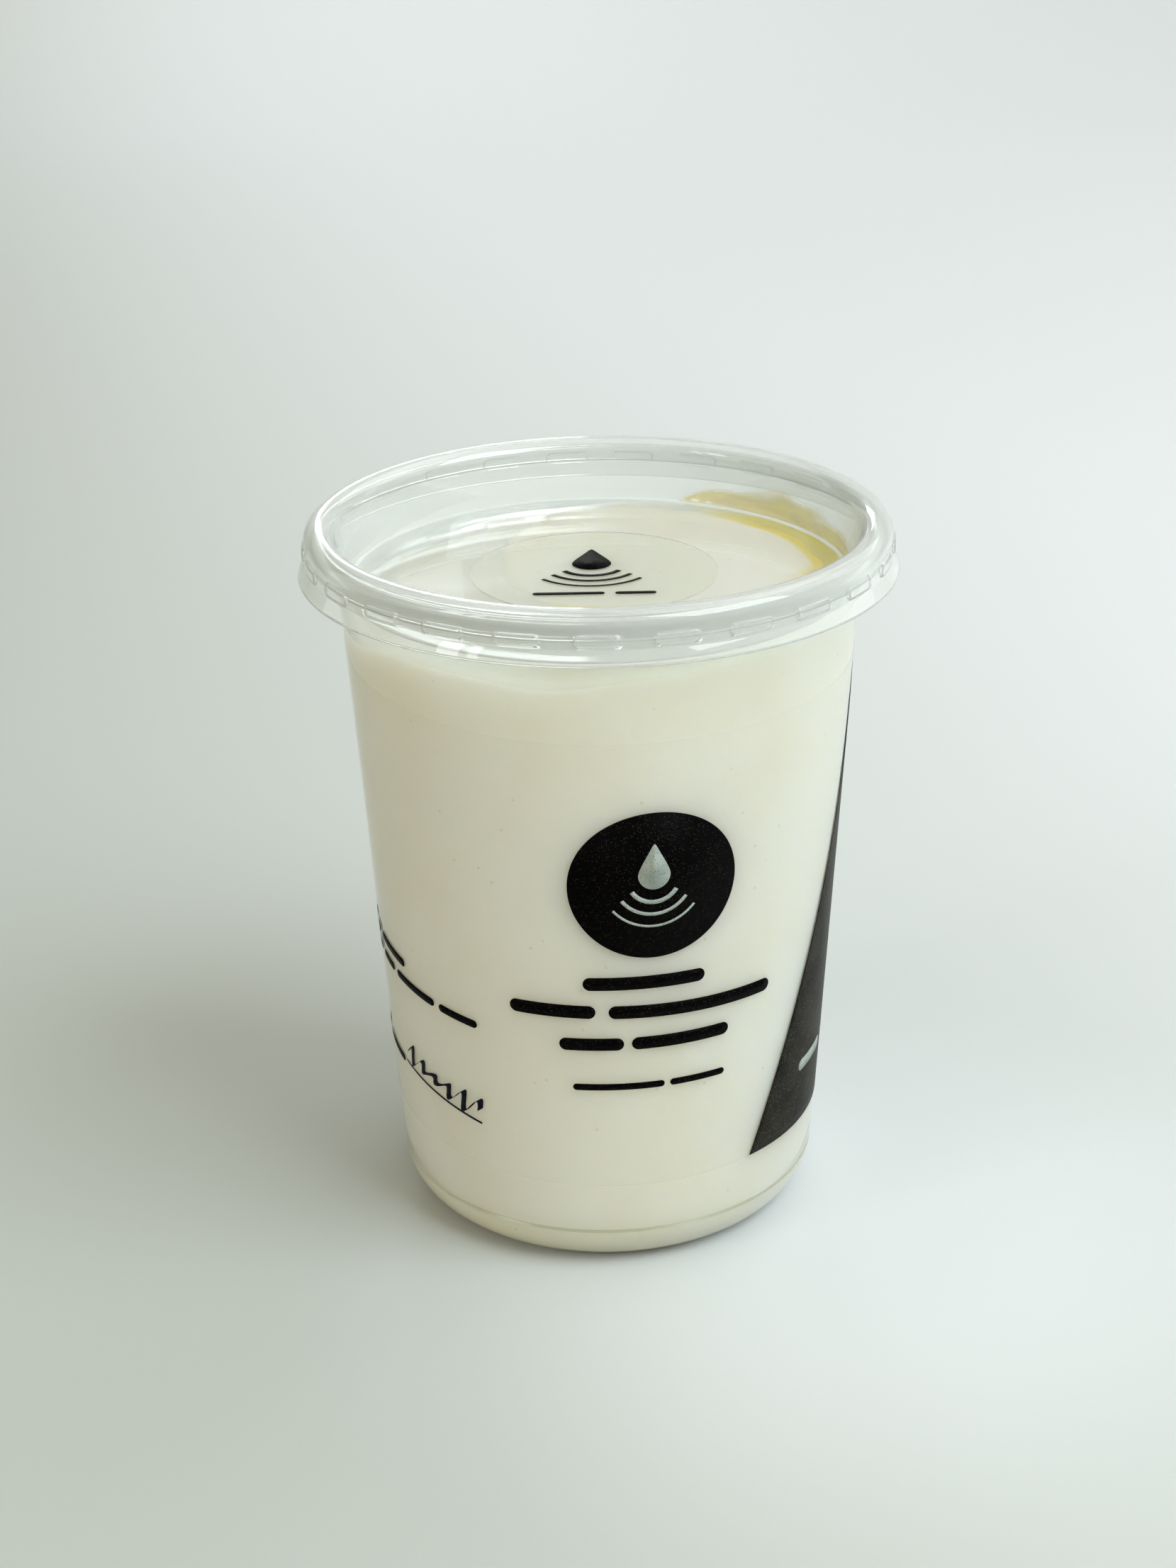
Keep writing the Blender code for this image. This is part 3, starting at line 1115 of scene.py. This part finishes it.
def makeSideBars(black):
    gap, slope = 1.4, -5.5
    for name, (azimuth, height, thick, widths) in sideBars.items():
        bm = bmesh.new()
        edge = 0.0
        for width in widths:
            addObround(bm, width * mm, thick * mm, ((edge - width / 2) * mm, 0.0))
            edge -= width + gap
        addPrint(name, bm, black, azimuth, height * mm, slope=slope)


# the pen mark: a plain wavy stroke over a ruled line
scribble = {
    "azimuth": -138.5,
    "height": 36.6 * mm,
    "slope": -11.0,
    "length": 23.0 * mm,
    "waves": 5.5,
    "rise": 2.4 * mm,
    "lean": 0.28,
    "nib": 1.9 * mm,
    "nibAngle": 50,
    "steps": 150,
    "uneven": (0.65, 0.35, 7.3),  # no two waves are of one height
    "line": 0.5 * mm,
    "lineReach": 1.08,
    "lineDrop": 1.25,
}


def makeScribble(pen):
    bm = bmesh.new()
    nib = toRadians(scribble["nibAngle"])
    half = scribble["nib"] / 2
    base, change, pace = scribble["uneven"]
    ends = [bm.verts.new(onCircle(side * half, nib, 0)) for side in (-1, 1)]
    edge = bm.edges.new(ends)

    def penPlace(share):
        swing = math.sin(2 * math.pi * scribble["waves"] * share)
        size = base + change * math.cos(pace * share)
        return Vector((
            (share - 0.5) * scribble["length"] + scribble["lean"] * scribble["rise"] * swing,
            scribble["rise"] * size * swing,
            0,
        ))

    bmesh.ops.translate(bm, verts=bm.verts, vec=penPlace(0))
    for step in range(scribble["steps"]):
        move = penPlace((step + 1) / scribble["steps"]) - penPlace(step / scribble["steps"])
        swept = bmesh.ops.extrude_edge_only(bm, edges=[edge])["geom"]
        edge = next(item for item in swept if isinstance(item, bmesh.types.BMEdge))
        bmesh.ops.translate(bm, verts=edge.verts, vec=move)
    linePlace = (0, -scribble["rise"] * scribble["lineDrop"])
    addObround(bm, scribble["length"] * scribble["lineReach"], scribble["line"], linePlace)
    addPrint("pen_mark", bm, pen, scribble["azimuth"], scribble["height"],
             slope=scribble["slope"])


# the black field: a tall triangle, narrower by climb degrees a side for each millimetre up
wedge = {
    "leftFoot": -50.1,
    "climb": 0.5,
    "rows": 48,
    "columns": 48,
    "axis": 0.0,
    "belowTop": 0.6,
    "aboveFoot": 0.3,
    "bars": (-22.0, 34.6, 2.6, ((0, 13.0), (12.5, 8.0))),  # as in frontBars, without the slope
}


def makeWedge(worn, pale):
    bm = bmesh.new()
    bmesh.ops.create_grid(bm, x_segments=wedge["columns"], y_segments=wedge["rows"], size=1.0)
    topHeight = label["foot"] / mm + (wedge["axis"] - wedge["leftFoot"]) / wedge["climb"]
    rise = min(topHeight - label["foot"] / mm, label["height"] / mm - wedge["belowTop"])
    for vert in bm.verts:
        up = (vert.co.y + 1) / 2 * rise
        halfTurn = wedge["axis"] - wedge["leftFoot"] - wedge["climb"] * up
        azimuth = wedge["axis"] + vert.co.x * halfTurn
        vert.co = onWall(0, 0, azimuth, label["foot"] + wedge["aboveFoot"] * mm + up * mm, 0)
    bmesh.ops.remove_doubles(bm, verts=bm.verts, dist=mergeReach)
    faceOut(bm, (wallRadius(0), 0, 40 * mm), (1, 0, 0))
    piece = addPiece("wedge_print", bm, [worn])
    addWall(piece, ink["thickness"], 1)
    bm = bmesh.new()
    azimuth, height, thick, bars = wedge["bars"]
    for offset, width in bars:
        addObround(bm, width * mm, thick * mm, (offset * mm, 0))
    addPrint("weight_bars", bm, pale, azimuth, height * mm, layer=1)


# Lid sticker: a round of the same film, with the drop printed in black

sticker = {
    "radius": 24.5 * mm,
    "centre": (-0.9 * mm, 1.1 * mm),
    "segments": 128,
    "film": 0.12 * mm,
    "standOff": 0.03 * mm,
    "motif": {
        "middle": -0.5, "dropRadius": 3.9, "dropLength": 12.6, "dropHeight": 4.4,
        "ripple": 6.4, "rippleGap": 3.1, "rippleHeight": 3.4, "line": 1.2, "spread": 116,
    },
    "barHeight": -13.4,
    "barThick": 1.5,
    "bars": ((-5.0, 14.0), (8.0, 8.0)),
}

stickerLook = dict(
    labelLook,
    tint=paint(222, 226, 214),
    lampTint=paint(247, 248, 245),
    roughness=0.16,
    grainScale=900.0,
    grainStrength=0.1,
    faceOn=0.04,
    slant=0.1,
)

# the sticker's rim is a stronger grey line of painted shade
stickerEdgeShadeLook = dict(cutEdgeShadeLook, faceOn=0.5, slant=0.6)


def makeSticker(black):
    bm = bmesh.new()
    bmesh.ops.create_cone(
        bm,
        cap_ends=True,
        segments=sticker["segments"],
        radius1=sticker["radius"],
        radius2=sticker["radius"],
        depth=sticker["film"],
    )
    low = lid["panelHeight"] + sticker["standOff"]
    place = (*sticker["centre"], low + sticker["film"] / 2)
    bmesh.ops.translate(bm, verts=bm.verts, vec=place)
    for face in bm.faces:
        face.material_index = 0 if abs(face.normal.z) > 0.5 else 1
    film = clearFilm("sticker_film", stickerLook, pebbledFilm)
    shadedCutEdge = clearFilm("sticker_cut_edge_shade", stickerEdgeShadeLook, pebbledFilm)
    addPiece("sticker_film", bm, [film, shadedCutEdge], "lid_sticker")
    bm = bmesh.new()
    addMotif(bm, sticker["motif"])
    for offset, width in sticker["bars"]:
        barPlace = (offset * mm, sticker["barHeight"] * mm)
        addObround(bm, width * mm, sticker["barThick"] * mm, barPlace)
    up = low + sticker["film"] + ink["clear"]
    bmesh.ops.translate(bm, verts=bm.verts, vec=(*sticker["centre"], up))
    for face in bm.faces:
        if face.normal.z < 0:
            face.normal_flip()
    piece = addPiece("sticker_motif", bm, [black])
    addWall(piece, ink["thickness"], 1)


def makePrint():
    black = inkFinish("black_ink", blackLook, pebbledFilm, softMottle, roundSpecks)
    pale = inkFinish("pale_ink", paleLook, pebbledFilm, softMottle, roundSpecks)
    pen = inkFinish("pen_ink", penLook, pebbledFilm, softMottle, roundSpecks)
    makeDisc(black, pale)
    makeFrontBars(black)
    makeSideBars(black)
    makeScribble(pen)
    worn = inkFinish("worn_ink", wornLook, pebbledFilm, softMottle, roundSpecks)
    makeWedge(worn, pale)
    makeSticker(black)


# Studio: a seamless pale sweep, two large soft lights on the right and small panes whose
# reflections lie on the plastic

studio = {
    "width": 6.0,
    "front": 1.6,
    "back": 1.3,
    "sweep": 0.7,
    "wall": 2.2,
    # near is painted shade towards the front and left, far is painted light towards the back and
    # right
    "near": paint(193, 200, 197),
    "far": paint(231, 237, 243),
    "roughness": 0.6,
    "shine": 0.2,
    "paintedFalloff": (-0.45, 1.0),
    "sideways": 2.2,
    "paintedLightPool": (0.045, -0.035, 0.0),  # a painted pool of light: the floor is brightest here, beside the pot
    "lightPoolReach": (0.03, 0.12),
    "lightPoolShare": 0.42,
    "ambient": paint(255, 243, 213),
    "ambientStrength": 0.45,
    "room": paint(252, 255, 253),  # as the plastic mirrors it
    "sky": paint(208, 209, 205),  # beside the sweep, as the camera sees it
    "aim": (0.0, 0.0, 0.08),
}

# place, size, watts and colour
lamps = {
    "key_window": ((0.91, -0.55, 1.26), (1.1, 0.95), 18.8, (0.88, 0.96, 0.99)),
    "warm_card": ((-0.45, -0.5, 0.1), (0.3, 0.15), 0.35, (1.0, 0.82, 0.52)),
    "back_bank": ((1.0, 0.95, 1.35), (1.6, 1.3), 8.1, (0.92, 0.97, 1.0)),
    "left_pane": ((-1.15, -0.7, 0.85), (0.22, 0.42), 1.6, (0.95, 0.98, 1.0)),
    "left_pane_side": ((-1.02, -0.9, 0.85), (0.1, 0.42), 0.7, (0.95, 0.98, 1.0)),
    "back_pane": ((-0.22, 1.75, 0.6), (0.42, 0.2), 1.8, (0.93, 0.97, 1.0)),
    "back_pane_top": ((-0.32, 1.75, 0.78), (0.4, 0.18), 0.07, (0.93, 0.97, 1.0)),
}


def sweepFinish():
    # painted light and shade: paler towards the back and the right, and a painted pool of light
    # beside the pot
    material, tree, shader, _ = startMaterial("studio_sweep_painted_light")
    link = tree.links.new
    start, end = studio["paintedFalloff"]
    near, far = studio["lightPoolReach"]
    place = addNode(tree, "ShaderNodeTexCoord")
    parts = addNode(tree, "ShaderNodeSeparateXYZ")
    slide = addMath(tree, "MULTIPLY_ADD", {1: studio["sideways"]})
    paintedFalloff = addSoftRange(tree, {"From Min": start, "From Max": end})
    toLightPool = addNode(tree, "ShaderNodeVectorMath", {1: studio["paintedLightPool"]}, operation="DISTANCE")
    paintedLightPool = addSoftRange(tree, {
        "From Min": near, "From Max": far, "To Min": studio["lightPoolShare"], "To Max": 0.0})
    total = addNode(tree, "ShaderNodeMath", operation="ADD", use_clamp=True)
    blend = addBlend(tree, studio["near"], studio["far"])
    link(place.outputs["Object"], parts.inputs["Vector"])
    link(parts.outputs["X"], slide.inputs[0])
    link(parts.outputs["Y"], slide.inputs[2])
    link(slide.outputs[0], paintedFalloff.inputs["Value"])
    link(place.outputs["Object"], toLightPool.inputs[0])
    link(toLightPool.outputs["Value"], paintedLightPool.inputs["Value"])
    link(paintedFalloff.outputs["Result"], total.inputs[0])
    link(paintedLightPool.outputs["Result"], total.inputs[1])
    link(total.outputs[0], blend.inputs["Factor"])
    link(blend.outputs[2], shader.inputs["Base Color"])
    setInputs(shader, {"Roughness": studio["roughness"], "Specular IOR Level": studio["shine"]})
    return material


def makeFloor():
    bm = bmesh.new()
    tip = bm.verts.new((-studio["front"], 0.0, 0.0))
    tip = lineTo(bm, tip, studio["back"], 0.0, 4)
    tip = arcTo(bm, tip, (studio["back"], studio["sweep"]), 90, 24)
    lineTo(bm, tip, studio["back"] + studio["sweep"], studio["wall"])
    swept = bmesh.ops.extrude_edge_only(bm, edges=bm.edges[:])["geom"]
    far = [item for item in swept if isinstance(item, bmesh.types.BMVert)]
    bmesh.ops.translate(bm, verts=far, vec=(0, studio["width"], 0))
    bmesh.ops.translate(bm, verts=bm.verts, vec=(0, -studio["width"] / 2, 0))
    quarter = Matrix.Rotation(math.pi / 2, 3, "Z")
    bmesh.ops.rotate(bm, verts=bm.verts, cent=(0, 0, 0), matrix=quarter)
    faceOut(bm, (0, 0, 0), (0, 0, 1))
    mesh = bpy.data.meshes.new("studio_floor")
    bm.to_mesh(mesh)
    bm.free()
    mesh.materials.append(sweepFinish())
    mesh.shade_smooth()
    floor = bpy.data.objects.new("studio_floor", mesh)
    bpy.context.scene.collection.objects.link(floor)


def makeLamps():
    for name, (place, size, watts, colour) in lamps.items():
        data = bpy.data.lights.new(name, "AREA")
        data.shape = "RECTANGLE"
        data.size, data.size_y = size
        data.energy = watts
        data.color = colour
        made = bpy.data.objects.new(name, data)
        made.location = place
        towards = Vector(studio["aim"]) - made.location
        made.rotation_euler = towards.to_track_quat("-Z", "Y").to_euler()
        # the other lamps reach the inside by shadow rays
        made.visible_transmission = name.startswith("back_pane")
        made.visible_glossy = name != "warm_card"
        bpy.context.scene.collection.objects.link(made)


def makeAir():
    # one tone for the camera, one that the plastic mirrors,
    # and a warm one that lights the surfaces
    world = bpy.data.worlds.new("studio_air")
    world.cycles.sampling_method = "NONE"
    world.use_nodes = True
    tree = world.node_tree
    link = tree.links.new
    seen = tree.nodes["Background"]
    tone = addBlend(tree, studio["room"], studio["sky"])
    given = addNode(tree, "ShaderNodeBackground", {
        "Color": studio["ambient"], "Strength": studio["ambientStrength"]})
    rays = addNode(tree, "ShaderNodeLightPath")
    choose = addNode(tree, "ShaderNodeMixShader")
    link(rays.outputs["Is Camera Ray"], tone.inputs["Factor"])
    link(tone.outputs[2], seen.inputs["Color"])
    link(rays.outputs["Diffuse Depth"], choose.inputs[0])
    link(seen.outputs[0], choose.inputs[1])
    link(given.outputs[0], choose.inputs[2])
    link(choose.outputs[0], tree.nodes["World Output"].inputs["Surface"])
    bpy.context.scene.world = world


def setLightPaths():
    bpy.context.scene.view_settings.view_transform = "Standard"
    limits = bpy.context.scene.cycles
    limits.max_bounces = 8
    limits.diffuse_bounces = 3
    limits.transmission_bounces = 8
    limits.transparent_max_bounces = 12
    limits.use_light_tree = False


makeCamera()
makeFloor()
makeLamps()
makeAir()
setLightPaths()
print("camera, floor and lights are in place")
makeYogurt()
makeSmear()
print("yogurt filled")
makeCup()
makeLid()
print("cup and lid made")
makeSideLabel()
makePrint()
print("label, sticker and print laid on")
